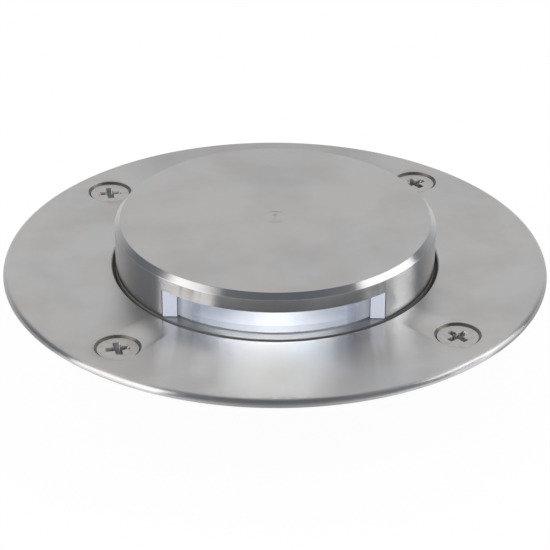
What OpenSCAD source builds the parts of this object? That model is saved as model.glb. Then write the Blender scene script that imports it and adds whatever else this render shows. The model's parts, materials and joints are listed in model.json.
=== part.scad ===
// Round in-ground light with one side outlet.
// A turned cap stands through a flat flange ring and turns in it to aim the window.
// Millimetres, +Z up. The origin is the centre of the seat under the flange's rim.

/* [Flange ring] */
// Width of the ring's face, from its hole to its rim
ring_w = 24; // [22:0.25:30]
// Thickness of the flange's rim, which lies on the ground
rim_t = 1.5; // [1.3:0.1:3]
// Radius of the rim's rounded upper edge
rim_round = 1.35; // [0.6:0.05:1.4]
// Radius of the rim's lower edge
rim_low_round = 0.1; // [0.05:0.05:0.3]
// Width of the seat under the rim
seat_w = 5.5; // [4.5:0.25:6]
// Depth of the spigot that drops into the cut-out
spigot_h = 1; // [0.8:0.1:2]
// Running gap between the cap and the hole in the ring
cap_gap = 0.75; // [0.4:0.05:1]
// Chamfer on the upper edge of the ring's hole
hole_chamfer = 0.25; // [0.1:0.05:0.4]

/* [Flange screws] */
// Number of screws that hold the ring down
screw_count = 4; // [3:1:6]
// Diameter of the screws' thread
screw_d = 5; // [4:0.5:5]
// Diameter of the screws' heads
screw_head_d = 8.9; // [7.5:0.1:9.5]
// Height of the cylindrical edge of a head
screw_land = 0.1; // [0.05:0.05:0.2]
// Length of a screw, its head included
screw_l = 5; // [4.5:0.5:6]
// Depth of the heads below the face of the ring
screw_sunk = 0.45; // [0.2:0.05:0.5]
// Width across the cross recess of a head
cross_w = 5.1; // [4:0.1:5.6]
// Width of one arm of the cross recess
cross_arm = 1.1; // [0.8:0.1:1.4]
// Depth of the cross recess at the centre
cross_depth = 2; // [1.4:0.1:2.4]

/* [Cap] */
// Diameter of the cap
cap_d = 70.5; // [66:0.5:73]
// Height of the cap above the face of the ring
cap_h = 10.6; // [10:0.1:13]
// Chamfer around the cap's top
cap_chamfer = 1.2; // [0.5:0.1:2]
// Thickness of the cap's top
cap_top_t = 3; // [2:0.1:3.2]
// Thickness of the cap's side wall
cap_wall = 2.15; // [1.9:0.05:2.6]
// Width of the collar that the ring holds down
collar_w = 3.75; // [2.5:0.25:4]
// Thickness of the collar
collar_t = 2; // [1.5:0.1:2.5]
// Length of the skirt below the collar
skirt_h = 4; // [3.6:0.1:5]
// Diameter of the centre mark of the turned face
centre_mark_d = 1.5; // [1:0.1:2]
// Depth of the centre mark
centre_mark_h = 0.35; // [0.2:0.05:0.6]
// Angle that the head is turned from the -Y axis at rest
aim_rest = -5.2; // [-180:0.1:180]

/* [Window] */
// Length of the flat that is milled into the cap's wall for the window
window_w = 47.4; // [40:0.2:50]
// Height of the window's upper edge below the cap's top
window_drop = 4.1; // [3.8:0.1:4.6]
// Thickness of the clear lens behind the window
lens_t = 2; // [1.6:0.05:2.4]
// Thickness of the seal between the lens and the cap's wall
lens_seal_t = 0.7; // [0.4:0.05:1]
// Height of the sill behind the lens above the face of the ring
sill_h = 0.5; // [0.2:0.1:1]

/* [Reflector] */
// Wall of the moulded reflector
reflector_wall = 1.2; // [0.8:0.1:1.4]
// Thickness of the reflector's base plate
reflector_base_t = 1.5; // [1:0.1:1.5]
// Diameter of the opening over the light source
aperture_d = 18; // [14:0.5:20]
// Length of the thread of a reflector screw in its post
reflector_screw_l = 5; // [3:0.5:6]

/* [Housing] */
// Distance from the edge of the rim plate to the edge of the spigot above it
rim_plate_gap = 3; // [1:0.25:4]
// Thickness of the rim plate
rim_plate_t = 1.8; // [1.5:0.1:2.2]
// Wall of the housing
pot_wall = 2; // [1.5:0.1:2.2]
// Depth of the upper chamber's floor below the shelf
chamber_h = 7; // [6.5:0.1:8]
// Thickness of the chamber floors
floor_t = 1.8; // [1.5:0.1:2]
// Depth of the lower chamber below the upper chamber's floor
well_h = 6.8; // [6.6:0.1:8]
// Ledge between the walls of the two chambers
ledge_w = 10.6; // [9:0.2:11]
// Diameter of an ear around a thread insert
ear_d = 8; // [7:0.25:8]
// Number of stiffening ribs under the rim plate
rib_count = 8; // [4:4:12]
// Thickness of a rib
rib_t = 1.6; // [1:0.1:2]

/* [Seals] */
// Thickness of the flat gasket under the ring
gasket_t = 0.8; // [0.5:0.1:1.2]
// Width of the flat gasket
gasket_w = 5; // [3:0.25:5.5]
// Thickness of the head's sealing ring
o_ring_d = 1.8; // [1.6:0.1:2.2]
// Thickness of the glide ring under the collar
glide_t = 0.8; // [0.5:0.1:1.2]

/* [Light source] */
// Distance from the light source's board to the edge of the heat spreader
led_board_gap = 14.6; // [13:0.2:16]
// Thickness of that board
led_board_t = 1.6; // [1:0.1:1.6]
// Width of one light-emitting chip
led_w = 3; // [2:0.1:3.5]
// Height of a chip
led_h = 0.7; // [0.5:0.05:0.9]
// Number of chips in a row
led_columns = 2; // [1:1:2]
// Number of rows of chips
led_rows = 3; // [2:1:3]
// Distance between the chips' centres
led_pitch = 4.4; // [4:0.1:4.6]
// Thickness of the thermal pad
pad_t = 0.3; // [0.2:0.05:0.5]
// Thickness of the heat spreader
spreader_t = 3; // [2.5:0.1:3]

/* [Driver] */
// Thickness of the driver board
driver_board_t = 1.6; // [1:0.1:1.6]
// Height of the posts under the driver board
driver_post_h = 1.6; // [1.2:0.1:2]
// Diameter of the inductor
inductor_d = 8; // [6:0.5:9]
// Height of the inductor
inductor_h = 4; // [3:0.1:4.2]
// Diameter of a capacitor
capacitor_d = 5; // [4:0.5:6.3]
// Height of a capacitor
capacitor_h = 4.4; // [3:0.1:4.6]

/* [Cable entry] */
// Diameter of the cable's way through the gland
cable_bore_d = 6; // [4:0.5:6.5]
// Diameter of the gland's thread
gland_thread_d = 10; // [9.6:0.1:10.4]
// Width across the flats of the gland's hexagons
gland_af = 12.4; // [12:0.1:12.6]
// Length of the gland nut
gland_nut_l = 8; // [7:0.5:9]
// Thickness of the gland's own hexagon
gland_hex_t = 2.6; // [2:0.1:3]
// Inside width of the box behind the gland
cable_box_w = 15; // [14:0.5:18]
// Distance that the box's end wall stands out past the housing's round wall
cable_box_out = 1.6; // [1:0.1:3]
// Thickness of the box's end wall
cable_box_end_t = 3; // [2:0.1:3.2]

/* [Hidden] */
$fn = 128;

// Overrun of every cut past the face that it opens
over = 1;
// Clearance of a part that turns or slides in another
run_fit = 0.05;
// Clearance between pieces that lie beside each other
lay_fit = 0.3;
// Clearance between the turning head and the fixed parts inside it
turn_gap = 0.8;

// Levels, from the top of the cap down
z_face = rim_t;
z_cap = z_face + cap_h;
z_cap_under = z_cap - cap_top_t;
z_window_top = z_cap - window_drop;
z_sill = z_face + sill_h;
z_spigot = -spigot_h;
z_rim = z_spigot - gasket_t;
z_collar = z_spigot - collar_t;
z_shelf = z_collar - glide_t;
z_skirt = z_collar - skirt_h;
z_floor = z_shelf - chamber_h;
z_well = z_floor - well_h;
z_bottom = z_well - floor_t;

// Radii of the flange ring and of what it holds, from the cap outwards
cap_r = cap_d / 2;
bore_r = cap_r + cap_gap;
flange_r = bore_r + ring_w;
spigot_r = flange_r - seat_w;
// Least height of the round wall between the rim's two rounded edges
rim_land = 0.05;
upper_round = min(rim_round, rim_t - rim_low_round - rim_land);
screw_r = screw_d / 2;
head_r = screw_head_d / 2;
ear_r = ear_d / 2;
// The ears around the screws end flush with the spigot
screw_circle_r = spigot_r - ear_r;
screw_start = 180 / screw_count;
screw_step = 360 / screw_count;
// Angle of each cross recess, counted anticlockwise from the +X axis
screw_turns = [30, 5, 8, 36, 20, 15];
screw_hole_r = screw_r + lay_fit;
z_screw_top = z_face - screw_sunk;

// Radii of the head
cap_bore_r = cap_r - cap_wall;
collar_r = cap_r + collar_w;
recess_r = collar_r + lay_fit;
o_ring_outer_r = bore_r - run_fit;
o_ring_mid_r = o_ring_outer_r - o_ring_d / 2;
o_ring_groove_r = o_ring_outer_r - o_ring_d;
z_o_ring = z_collar - skirt_h / 2;
// Distance of the window's flat from the axis
window_flat = sqrt(pow(cap_r, 2) - pow(window_w / 2, 2));
// Half angle of the opening that the flat leaves in the cap's bore
open_half = acos(window_flat / cap_bore_r);
seal_outer_r = cap_bore_r - run_fit;
lens_outer_r = seal_outer_r - lens_seal_t;
lens_inner_r = lens_outer_r - lens_t;

// Reflector and its screws
reflector_r = cap_bore_r - lay_fit;
mouth_r = lens_inner_r - run_fit;
z_base_top = z_spigot + reflector_base_t;
aperture_r = aperture_d / 2;
z_channel_top = min(z_window_top, z_cap_under - reflector_wall - run_fit);
// The lens stands on the reflector's base plate and laps over the window's edges all round
lens_lap = z_face - z_base_top;
lens_half = open_half + asin(lens_lap / lens_outer_r);
z_lens_top = min(z_window_top + lens_lap, z_cap_under - run_fit);
fixing_post_r = 3;
fixing_thread_r = 1.25;
fixing_head_r = 2.4;
fixing_head_h = 1.3;
fixing_hole_r = fixing_thread_r + run_fit;
fixing_socket_d = 2.4;
fixing_circle_r = reflector_r - fixing_post_r - lay_fit;
// Angles of the reflector's screws, which keep clear of the window
fixing_angles = [-10, 90, 190];

// Housing
pot_r = bore_r;
pot_outer_r = pot_r + pot_wall;
well_r = pot_r - ledge_w;
well_outer_r = well_r + pot_wall;
rim_plate_r = spigot_r - rim_plate_gap;
z_rim_under = z_rim - rim_plate_t;
// The ears stand a little below the rim plate
ear_step = 0.2;
z_ear_under = z_rim_under - ear_step;
shelf_outer_r = recess_r + pot_wall;
z_shelf_under = z_shelf - pot_wall;
insert_wall = 0.6;
insert_flange_t = 0.3;
insert_r = screw_r + insert_wall;
rib_h = 5;
rib_start = 180 / rib_count;
gasket_inner_r = recess_r + lay_fit;
gasket_outer_r = gasket_inner_r + gasket_w;

// Light source, from the reflector's plate down
led_gap = 1;
z_led_board = z_spigot - led_gap - led_h;
z_pad = z_led_board - led_board_t;
z_spreader = z_pad - pad_t;
z_spreader_under = z_spreader - spreader_t;
spreader_r = cap_bore_r - turn_gap;
led_board_r = spreader_r - led_board_gap;
spreader_post_r = 2.6;
m3_r = 1.5;
m3_head_r = 2.4;
m3_head_h = 1.2;
m3_socket_d = 2.4;
spreader_circle_r = spreader_r - m3_head_r - turn_gap;
spreader_screw_l = 6;
m3_hole_r = m3_r + run_fit;
// Angles of the spreader's screws, which keep clear of the cable box
spreader_angles = [30, 150, 270];
// Angles of the screws of both boards
board_angles = [90, 210, 330];
m2_r = 1.1;
m2_hole_r = m2_r + run_fit;
m2_socket_d = 1.8;
m2_head_r = 2;
m2_head_h = 0.8;
led_screw_circle_r = led_board_r - m2_head_r - lay_fit;
led_screw_l = 4;
lead_hole_r = 2.2;
lead_r = 0.5;
lead_bend_r = 1.4;
lead_pitch = 1.3;
lead_circle_r = led_board_r + lead_hole_r + lay_fit;

// Driver
z_driver_under = z_well + driver_post_h;
z_driver = z_driver_under + driver_board_t;
driver_rim = 2.4;
driver_board_r = well_r - turn_gap - driver_rim;
driver_post_r = 2.4;
driver_circle_r = driver_board_r - driver_post_r;
driver_screw_l = 3;
chip_w = 5;
chip_l = 6;
chip_h = 1.5;

// Cable box, terminal and gland
box_half = cable_box_w / 2;
box_outer_half = box_half + pot_wall;
cable_box_y = pot_outer_r + cable_box_out;
box_inner_y = cable_box_y - cable_box_end_t;
z_box_top = z_shelf_under;
z_gland = (z_box_top + z_bottom) / 2;
cable_bore_r = cable_bore_d / 2;
gland_thread_r = gland_thread_d / 2;
gland_hole_r = gland_thread_r + run_fit;
gland_washer_t = 0.8;
gland_hex_r = gland_af / 2 / cos(30);
gland_y_hex = cable_box_y + gland_washer_t;
gland_y_neck = gland_y_hex + gland_hex_t;
gland_neck_l = 5;
gland_neck_step = 0.3;
gland_neck_r = gland_thread_r - gland_neck_step;
gland_seal_wall = 1.1;
gland_seal_l = 4;
terminal_w = 11;
terminal_l = 7;
terminal_h = 8;
terminal_y = well_r;
terminal_wire_r = 1.1;
terminal_screw_r = 1.4;
terminal_pitch = 5;
z_terminal_wire = z_driver + lead_bend_r;

// Turns a piece of the head to the direction in which it is aimed
module aimed() {
    rotate([0, 0, aim_rest]) children();
}

// Places a copy on each screw of the flange ring
module on_flange_screws() {
    for (k = [0 : screw_count - 1])
        rotate([0, 0, screw_start + k * screw_step])
            translate([screw_circle_r, 0, 0]) children();
}

// Places a copy at each of the given angles on a circle
module on_angles(circle_r, angles) {
    for (a = angles) rotate([0, 0, a]) translate([circle_r, 0, 0]) children();
}

// Ring between two radii and two levels
module ring(r_out, r_in, z_low, z_high) {
    translate([0, 0, z_low]) difference() {
        cylinder(h = z_high - z_low, r = r_out);
        translate([0, 0, -over]) cylinder(h = z_high - z_low + 2 * over, r = r_in);
    }
}

// Disc between two levels
module disc(r, z_low, z_high) {
    translate([0, 0, z_low]) cylinder(h = z_high - z_low, r = r);
}

// Sector of a disc around the -Y axis, from its half angle
module sector(r, half, z_low, z_high) {
    translate([0, 0, z_low]) linear_extrude(z_high - z_low)
        intersection() {
            circle(r);
            polygon([[0, 0], [r * tan(half), -r], [r * tan(half), -r - over],
                     [-r * tan(half), -r - over], [-r * tan(half), -r]]);
        }
}

// Pan head with a hexagon socket, and its thread, from the face that the head lies on
module socket_screw(thread_r, pan_r, pan_h, thread_l, socket_d) {
    difference() {
        union() {
            cylinder(h = pan_h, r = pan_r);
            translate([0, 0, -thread_l]) cylinder(h = thread_l, r = thread_r);
        }
        translate([0, 0, pan_h / 2]) cylinder(h = pan_h, d = socket_d, $fn = 6);
    }
}

// Quarter of a disc that rounds an outer edge, with the edge at the origin
module edge_quarter(r) {
    translate([-r, 0]) intersection() {
        circle(r);
        square(r);
    }
}

module flange_profile() {
    difference() {
        union() {
            translate([bore_r, 0]) square([flange_r - upper_round - bore_r, rim_t]);
            translate([bore_r, rim_low_round])
                square([flange_r - bore_r, rim_t - upper_round - rim_low_round]);
            translate([bore_r, z_spigot]) square([spigot_r - bore_r, spigot_h + rim_low_round]);
            translate([flange_r, rim_t - upper_round]) edge_quarter(upper_round);
            translate([flange_r, rim_low_round]) mirror([0, 1]) edge_quarter(rim_low_round);
            translate([bore_r, 0]) square([flange_r - rim_low_round - bore_r, rim_low_round]);
        }
        translate([bore_r, z_face])
            polygon([[-over, over], [hole_chamfer + over, over], [hole_chamfer, 0],
                     [0, -hole_chamfer], [-over, -hole_chamfer]]);
    }
}

module flange_ring() {
    color("silver") difference() {
        rotate_extrude() flange_profile();
        on_flange_screws() {
            translate([0, 0, z_spigot - over])
                cylinder(h = z_face - z_spigot + 2 * over, r = screw_hole_r);
            countersink();
        }
    }
}

// Cone of the countersink, which holds the head at its depth
module countersink() {
    mouth_r = head_r + screw_sunk + screw_land + run_fit;
    translate([0, 0, z_face - mouth_r]) cylinder(h = mouth_r + over, r1 = 0, r2 = mouth_r + over);
}

// Cross recess: two arms and a pit that narrows downwards
module cross_recess() {
    half_w = cross_w / 2;
    slope = (half_w - cross_arm) / cross_depth;
    intersection() {
        union() {
            for (a = [0, 90]) rotate([0, 0, a])
                translate([-half_w, -cross_arm / 2, -cross_depth])
                    cube([cross_w, cross_arm, cross_depth + over]);
            translate([0, 0, -cross_depth])
                cylinder(h = cross_depth + over, r1 = cross_arm / 2, r2 = cross_arm);
        }
        translate([0, 0, -cross_depth])
            cylinder(h = cross_depth + over, r1 = cross_arm, r2 = half_w + slope * over);
    }
}

module flange_screws() {
    color("gainsboro") on_flange_screws_numbered();
}

module on_flange_screws_numbered() {
    for (k = [0 : screw_count - 1])
        rotate([0, 0, screw_start + k * screw_step]) translate([screw_circle_r, 0, z_screw_top])
            rotate([0, 0, screw_turns[k] - screw_start - k * screw_step]) flange_screw();
}

module flange_screw() {
    cone_h = head_r - screw_r;
    difference() {
        union() {
            translate([0, 0, -screw_land]) cylinder(h = screw_land, r = head_r);
            translate([0, 0, -screw_land - cone_h]) cylinder(h = cone_h, r1 = screw_r, r2 = head_r);
            translate([0, 0, -screw_l]) cylinder(h = screw_l - screw_land, r = screw_r);
        }
        cross_recess();
    }
}

module cap_profile() {
    difference() {
        union() {
            polygon([[0, z_collar], [cap_r, z_collar], [cap_r, z_cap - cap_chamfer],
                     [cap_r - cap_chamfer, z_cap], [0, z_cap]]);
            translate([0, z_collar]) square([collar_r, collar_t]);
            translate([0, z_skirt]) square([cap_r, skirt_h]);
        }
        translate([-over, z_skirt - over])
            square([cap_bore_r + over, z_cap_under - z_skirt + over]);
        translate([o_ring_groove_r - run_fit, z_o_ring - o_ring_d / 2 - run_fit])
            square([cap_r, o_ring_d + 2 * run_fit]);
    }
}

// Straight cut in front of the window's flat, to a half width
module window_cut(half_w) {
    translate([-half_w, -cap_r - over, z_face])
        cube([2 * half_w, cap_r + over - window_flat, z_window_top - z_face]);
}

module cap() {
    color("silver") aimed() difference() {
        union() {
            rotate_extrude() cap_profile();
            on_angles(fixing_circle_r, fixing_angles)
                disc(fixing_post_r, z_base_top, z_cap_under + over);
        }
        window_cut(cap_r + over);
        on_angles(fixing_circle_r, fixing_angles)
            disc(fixing_hole_r, z_base_top - over, z_base_top + reflector_screw_l + over);
        translate([0, 0, z_cap - centre_mark_h])
            cylinder(h = centre_mark_h + over, r1 = 0,
                     r2 = centre_mark_d / 2 * (centre_mark_h + over) / centre_mark_h);
    }
}

module window_lens() {
    color([0.85, 0.92, 1, 0.4]) aimed() difference() {
        sector(lens_outer_r, lens_half, z_base_top, z_lens_top);
        disc(lens_inner_r, z_base_top - over, z_lens_top + over);
    }
}

module lens_seal() {
    color("dimgray") aimed() difference() {
        sector(seal_outer_r, lens_half, z_base_top, z_lens_top);
        disc(lens_outer_r, z_base_top - over, z_lens_top + over);
        window_cut(cap_bore_r * sin(open_half));
    }
}

// Light channel seen from above, grown by g: from the opening over the source to the window
module channel_plan(g) {
    reach = mouth_r + over;
    mouth = reach * sin(open_half) + g;
    intersection() {
        circle(reach);
        union() {
            circle(aperture_r + g);
            polygon([[-aperture_r - g, 0], [aperture_r + g, 0],
                     [mouth, -reach * cos(open_half)], [mouth, -reach - over],
                     [-mouth, -reach - over], [-mouth, -reach * cos(open_half)]]);
        }
    }
}

// Light channel seen from the side, grown by g: up from the source, over a slope, to the window
module channel_side(g, z_low) {
    reach = mouth_r + over;
    polygon([[-reach, z_sill - g], [-aperture_r - g, z_base_top - g], [-aperture_r - g, z_low],
             [aperture_r + g, z_low], [aperture_r + g, z_base_top + g],
             [-aperture_r + reflector_base_t, z_channel_top + g], [-reach, z_channel_top + g]]);
}

module channel(g, z_low) {
    intersection() {
        translate([0, 0, z_low]) linear_extrude(z_cap - z_low) channel_plan(g);
        translate([-mouth_r - over, 0, 0]) rotate([90, 0, 90])
            linear_extrude(2 * mouth_r + 2 * over) channel_side(g, z_low);
    }
}

// Face around the mouth of the channel, right behind the lens
module reflector_face() {
    difference() {
        sector(mouth_r, lens_half, z_spigot, z_channel_top + reflector_wall);
        disc(mouth_r - reflector_wall, z_spigot - over, z_cap);
    }
}

module reflector() {
    color("whitesmoke") aimed() difference() {
        union() {
            disc(reflector_r, z_spigot, z_base_top);
            intersection() {
                channel(reflector_wall, z_spigot);
                disc(mouth_r, z_spigot, z_cap);
            }
            reflector_face();
        }
        channel(0, z_spigot - over);
        on_angles(fixing_circle_r, fixing_angles)
            disc(fixing_hole_r, z_spigot - over, z_base_top + over);
    }
}

module reflector_screws() {
    color("dimgray") aimed() on_angles(fixing_circle_r, fixing_angles)
        translate([0, 0, z_spigot]) mirror([0, 0, 1])
            socket_screw(fixing_thread_r, fixing_head_r, fixing_head_h,
                         reflector_base_t + reflector_screw_l, fixing_socket_d);
}

module head_o_ring() {
    color("black") rotate_extrude() translate([o_ring_mid_r, z_o_ring]) circle(o_ring_d / 2);
}

module glide_ring() {
    color("white") ring(collar_r, bore_r + lay_fit, z_shelf, z_collar);
}

// Rib between the rim plate and the wall of the pot
module rim_rib() {
    translate([0, rib_t / 2, 0]) rotate([90, 0, 0]) linear_extrude(rib_t)
        polygon([[pot_r + pot_wall / 2, z_rim_under + rim_plate_t / 2],
                 [rim_plate_r - rim_plate_t, z_rim_under + rim_plate_t / 2],
                 [pot_r + pot_wall / 2, z_rim_under - rib_h]]);
}

module housing_outside() {
    disc(rim_plate_r, z_rim_under, z_rim);
    on_flange_screws() disc(ear_r, z_ear_under, z_spigot);
    disc(shelf_outer_r, z_shelf_under, z_rim_under + rim_plate_t / 2);
    disc(pot_outer_r, z_floor - floor_t, z_rim_under);
    disc(well_outer_r, z_bottom, z_floor);
    translate([-box_outer_half, 0, z_bottom])
        cube([2 * box_outer_half, cable_box_y, z_box_top - z_bottom]);
    for (k = [0 : rib_count - 1]) rotate([0, 0, rib_start + k * 360 / rib_count]) rim_rib();
}

module housing_inside() {
    disc(recess_r, z_shelf, z_rim + over);
    disc(pot_r, z_floor, z_rim + over);
    disc(well_r, z_well, z_floor + over);
    translate([-box_half, 0, z_well])
        cube([2 * box_half, box_inner_y, z_box_top - pot_wall - z_well]);
    on_flange_screws() disc(insert_r + run_fit, z_ear_under - over, z_spigot + over);
    gland_round(gland_hole_r, box_inner_y - run_fit, cable_box_y + over);
}

module spreader_post() {
    difference() {
        disc(spreader_post_r, z_floor - floor_t / 2, z_spreader_under);
        disc(m3_hole_r, z_spreader - spreader_screw_l - run_fit, z_spreader_under + over);
    }
}

module driver_post() {
    difference() {
        disc(driver_post_r, z_well - floor_t / 2, z_driver_under);
        disc(m2_hole_r, z_driver - driver_screw_l - run_fit, z_driver_under + over);
    }
}

module housing_pot() {
    color("darkgray") {
        difference() {
            housing_outside();
            housing_inside();
        }
        on_angles(spreader_circle_r, spreader_angles) spreader_post();
        on_angles(driver_circle_r, board_angles) driver_post();
    }
}

module thread_inserts() {
    color("goldenrod") on_flange_screws() difference() {
        union() {
            disc(insert_r, z_ear_under, z_spigot);
            disc(insert_r + insert_wall, z_ear_under - insert_flange_t, z_ear_under);
        }
        disc(screw_r + run_fit, z_ear_under - insert_flange_t - over, z_spigot + over);
    }
}

// The gasket goes round any ear that it reaches
module rim_gasket() {
    color("black") difference() {
        ring(gasket_outer_r, gasket_inner_r, z_rim, z_spigot);
        on_flange_screws() disc(ear_r + lay_fit, z_rim - over, z_spigot + over);
    }
}

module led_board() {
    color("white") difference() {
        disc(led_board_r, z_pad, z_led_board);
        on_angles(led_screw_circle_r, board_angles) disc(m2_hole_r, z_pad - over, z_led_board + over);
    }
}

module led_chips() {
    color("khaki") for (i = [0 : led_columns - 1], j = [0 : led_rows - 1])
        translate([(i - (led_columns - 1) / 2) * led_pitch - led_w / 2,
                   (j - (led_rows - 1) / 2) * led_pitch - led_w / 2, z_led_board])
            cube([led_w, led_w, led_h]);
}

module led_board_screws() {
    color("silver") on_angles(led_screw_circle_r, board_angles) translate([0, 0, z_led_board])
        socket_screw(m2_r, m2_head_r, m2_head_h, led_screw_l, m2_socket_d);
}

module thermal_pad() {
    color("lightpink") difference() {
        disc(led_board_r, z_spreader, z_pad);
        on_angles(led_screw_circle_r, board_angles) disc(m2_hole_r, z_spreader - over, z_pad + over);
    }
}

module heat_spreader() {
    color("lightsteelblue") difference() {
        disc(spreader_r, z_spreader_under, z_spreader);
        on_angles(led_screw_circle_r, board_angles)
            disc(m2_hole_r, z_led_board - led_screw_l - run_fit, z_spreader + over);
        on_angles(spreader_circle_r, spreader_angles)
            disc(m3_hole_r, z_spreader_under - over, z_spreader + over);
        translate([0, -lead_circle_r, 0])
            disc(lead_hole_r, z_spreader_under - over, z_spreader + over);
    }
}

module spreader_screws() {
    color("silver") on_angles(spreader_circle_r, spreader_angles) translate([0, 0, z_spreader])
        socket_screw(m3_r, m3_head_r, m3_head_h, spreader_screw_l, m3_socket_d);
}

module driver_board() {
    color("darkgreen") difference() {
        disc(driver_board_r, z_driver_under, z_driver);
        on_angles(driver_circle_r, board_angles)
            disc(m2_hole_r, z_driver_under - over, z_driver + over);
    }
}

module driver_inductor() {
    color("dimgray") translate([-driver_board_r / 2, 0, 0])
        disc(inductor_d / 2, z_driver, z_driver + inductor_h);
}

module driver_capacitors() {
    color("silver") for (side = [-1, 1])
        translate([driver_board_r / 2, side * (capacitor_d + lay_fit) / 2, 0])
            disc(capacitor_d / 2, z_driver, z_driver + capacitor_h);
}

module driver_chips() {
    color("black") for (side = [-1, 1])
        translate([-chip_w / 2, side * chip_l - chip_l / 2, z_driver])
            cube([chip_w, chip_l, chip_h]);
}

module driver_screws() {
    color("silver") on_angles(driver_circle_r, board_angles) translate([0, 0, z_driver])
        socket_screw(m2_r, m2_head_r, m2_head_h, driver_screw_l, m2_socket_d);
}

// Place of each of the two ways of the terminal block
module on_terminal_ways() {
    for (side = [-1, 1]) translate([side * terminal_pitch / 2, terminal_y, 0]) children();
}

module terminal_block() {
    color("ivory") difference() {
        translate([-terminal_w / 2, terminal_y, z_well]) cube([terminal_w, terminal_l, terminal_h]);
        on_terminal_ways() {
            translate([0, -over, z_terminal_wire]) rotate([-90, 0, 0])
                cylinder(h = terminal_l + 2 * over, r = terminal_wire_r);
            translate([0, terminal_l / 2, 0])
                disc(terminal_screw_r + run_fit, z_terminal_wire, z_well + terminal_h + over);
        }
    }
}

module terminal_screws() {
    color("silver") on_terminal_ways() translate([0, terminal_l / 2, 0])
        disc(terminal_screw_r, z_terminal_wire + terminal_wire_r, z_well + terminal_h);
}

// Quarter bend from a lead along +Z at the origin to a lead along +Y
module lead_bend() {
    translate([0, lead_bend_r, 0]) rotate([0, 0, 180]) rotate([90, 0, 90])
        rotate_extrude(angle = 90) translate([lead_bend_r, 0]) circle(lead_r);
}

// Lead from the driver board up through the spreader and over to the light source's board
module led_lead(side) {
    z_run = z_led_board + lead_r;
    translate([side * lead_pitch / 2, -lead_circle_r, 0]) {
        disc(lead_r, z_driver, z_run - lead_bend_r);
        translate([0, 0, z_run - lead_bend_r]) lead_bend();
        translate([0, lead_bend_r, z_run]) rotate([-90, 0, 0])
            cylinder(h = lead_hole_r + lead_bend_r, r = lead_r);
    }
}

module lead_positive() {
    color("firebrick") led_lead(1);
}

module lead_negative() {
    color("black") led_lead(-1);
}

// Leads from the driver board to the terminal block
module input_leads() {
    lead_end = terminal_l / 2 - terminal_screw_r - run_fit;
    lead_run = terminal_y - driver_board_r + lead_end;
    color("sienna") on_terminal_ways() {
        translate([0, lead_end - lead_run, z_terminal_wire]) rotate([-90, 0, 0])
            cylinder(h = lead_run, r = lead_r);
        translate([0, lead_end - lead_run - lead_bend_r, z_driver]) lead_bend();
    }
}

// Hexagon with two flats level, between two places along the gland's axis
module gland_hexagon(y_low, y_high) {
    translate([0, y_low, z_gland]) rotate([-90, 0, 0])
        cylinder(h = y_high - y_low, r = gland_hex_r, $fn = 6);
}

// Round body between two places along the gland's axis
module gland_round(r, y_low, y_high) {
    translate([0, y_low, z_gland]) rotate([-90, 0, 0]) cylinder(h = y_high - y_low, r = r);
}

module gland_body() {
    color("gray") difference() {
        union() {
            gland_round(gland_thread_r, box_inner_y, gland_y_neck);
            gland_hexagon(gland_y_hex, gland_y_neck);
            gland_round(gland_neck_r, gland_y_neck, gland_y_neck + gland_neck_l);
        }
        gland_round(cable_bore_r, box_inner_y - over,
                    gland_y_neck + gland_neck_l + over);
        gland_round(cable_bore_r + gland_seal_wall, gland_y_neck + gland_neck_l - gland_seal_l,
                    gland_y_neck + gland_neck_l + over);
    }
}

module gland_washer() {
    color("black") difference() {
        gland_round(gland_af / 2 - lay_fit, cable_box_y, gland_y_hex);
        gland_round(gland_hole_r, cable_box_y - over, gland_y_hex + over);
    }
}

module gland_seal() {
    color("black") difference() {
        gland_round(cable_bore_r + gland_seal_wall - run_fit,
                    gland_y_neck + gland_neck_l - gland_seal_l, gland_y_neck + gland_neck_l);
        gland_round(cable_bore_r, gland_y_neck, gland_y_neck + gland_neck_l + over);
    }
}

module gland_nut() {
    color("gray") difference() {
        union() {
            gland_hexagon(gland_y_neck, gland_y_neck + gland_nut_l / 2);
            translate([0, gland_y_neck + gland_nut_l / 2, z_gland]) rotate([-90, 0, 0])
                cylinder(h = gland_nut_l / 2, r1 = gland_af / 2 - lay_fit, r2 = gland_neck_r);
        }
        gland_round(gland_neck_r + run_fit, gland_y_neck - over, gland_y_neck + gland_neck_l);
        gland_round(cable_bore_r, gland_y_neck, gland_y_neck + gland_nut_l + over);
    }
}

flange_ring();
flange_screws();
cap();
window_lens();
lens_seal();
reflector();
reflector_screws();
head_o_ring();
glide_ring();
housing_pot();
thread_inserts();
rim_gasket();
led_board();
led_chips();
led_board_screws();
thermal_pad();
heat_spreader();
spreader_screws();
driver_board();
driver_inductor();
driver_capacitors();
driver_chips();
driver_screws();
terminal_block();
terminal_screws();
lead_positive();
lead_negative();
input_leads();
gland_body();
gland_washer();
gland_seal();
gland_nut();
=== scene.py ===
# Looks of a round in-ground light: a turned flange ring with sunk screws, and a turning cap with a window in
# its side. Lengths are written in millimetres and turned into metres by MM.
import json
import math

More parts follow.
